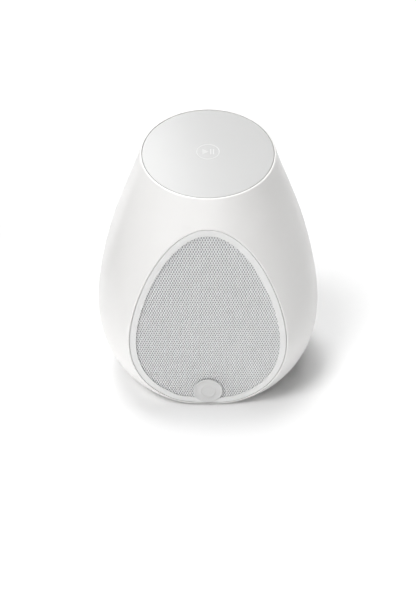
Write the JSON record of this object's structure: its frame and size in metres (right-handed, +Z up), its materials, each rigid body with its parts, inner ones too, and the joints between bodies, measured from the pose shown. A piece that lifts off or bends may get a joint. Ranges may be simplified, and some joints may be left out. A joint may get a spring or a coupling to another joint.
{
  "type": "smart speaker",
  "caption": "Egg-shaped one-box speaker with a flat front grille in a white rim, a sloping round glass touch top, drivers behind the grille and sockets in a niche at the back.",
  "frame": {"origin": "centre of the base on the axis the egg is turned about, at the surface it stands on", "axes": "+Z up, -Y out of the flat front grille, +X to the right seen from the front"},
  "size_m": [0.2361, 0.2079, 0.2678],
  "materials": {
    "shell_white": "satin white lacquer",
    "grille_white": "fine satin white",
    "mesh_grey": "satin light grey",
    "badge_white": "satin white",
    "glass_white": "polished, painted white behind",
    "foam_black": "foamed, matt",
    "rubber_grey": "matt",
    "opal_plastic": "translucent opal",
    "black_plastic": "fine texture",
    "steel_screw": "zinc plated",
    "steel_sheet": "rolled sheet",
    "black_steel": "black powder coat",
    "plated_steel": "bright nickel plate",
    "ferrite": "ground",
    "magnet_nickel": "bright",
    "cone_paper": "pressed fibre, coated",
    "surround_rubber": "satin",
    "spider_cloth": "woven, varnished",
    "coil_copper": "enamelled wire",
    "dome_silk": "coated silk",
    "board_green": "solder mask",
    "aluminium_black": "black anodised",
    "wire_pvc": "flexible",
    "flex_amber": "flat polyimide film",
    "foam_grey": "open wadding"
  },
  "bodies": {
    "cabinet": {"enclosure_shell": "shell_white", "base_plate": "black_plastic", "base_screws": "steel_screw", "foot_pad": "rubber_grey", "top_glass": "glass_white", "touch_board": "board_green", "light_guide": "opal_plastic", "led_board": "board_green", "top_carrier": "black_plastic", "carrier_screws": "steel_screw", "grille_frame": "grille_white", "grille_mesh": "mesh_grey", "grille_badge": "badge_white", "grille_magnets": "magnet_nickel", "front_baffle": "black_plastic", "baffle_gasket": "foam_black", "baffle_screws": "steel_screw", "woofer_basket": "black_steel", "woofer_gasket": "foam_black", "woofer_screws": "steel_screw", "woofer_surround": "surround_rubber", "woofer_spider": "spider_cloth", "woofer_top_plate": "plated_steel", "woofer_magnet": "ferrite", "woofer_yoke": "plated_steel", "woofer_terminals": "black_plastic", "tweeter_faceplate": "black_plastic", "tweeter_screws": "steel_screw", "tweeter_surround": "surround_rubber", "tweeter_top_plate": "plated_steel", "tweeter_magnet": "ferrite", "tweeter_yoke": "plated_steel", "tweeter_rear_cup": "black_plastic", "connector_panel": "black_plastic", "panel_screws": "steel_screw", "mains_inlet": "black_plastic", "ethernet_jack": "plated_steel", "hdmi_jack": "plated_steel", "usb_jack": "plated_steel", "button_switch": "board_green", "chassis_tray": "steel_sheet", "tray_screws": "steel_screw", "board_standoffs": "steel_screw", "board_screws": "steel_screw", "power_supply_board": "board_green", "main_board": "board_green", "amplifier_bracket": "steel_sheet", "amplifier_board": "board_green", "heat_sink": "aluminium_black", "antennas": "board_green", "speaker_wires": "wire_pvc", "touch_cable": "flex_amber", "damping_foam": "foam_grey"},
    "woofer_motion": {"woofer_cone": "cone_paper", "woofer_dust_cap": "cone_paper", "woofer_coil_former": "flex_amber", "woofer_voice_coil": "coil_copper"},
    "tweeter_motion": {"tweeter_dome": "dome_silk", "tweeter_voice_coil": "coil_copper"},
    "setup_button": {"setup_button": "grille_white"}
  },
  "joints": [
    {"name": "woofer_travel", "type": "slide", "parent": "cabinet", "child": "woofer_motion", "axis": [0, -0.9995, 0.0314], "range_m": [-0.004, 0.004], "stiffness_N_per_m": 1600, "deforming": ["woofer_surround", "woofer_spider"]},
    {"name": "tweeter_travel", "type": "slide", "parent": "cabinet", "child": "tweeter_motion", "axis": [0, -0.9995, 0.0314], "range_m": [-0.0003, 0.0003], "stiffness_N_per_m": 1500, "deforming": ["tweeter_surround"]},
    {"name": "setup_press", "type": "slide", "parent": "cabinet", "child": "setup_button", "axis": [0, -1, 0], "range_m": [0, 0.0006], "stiffness_N_per_m": 600, "springref_m": -0.0005}
  ]
}
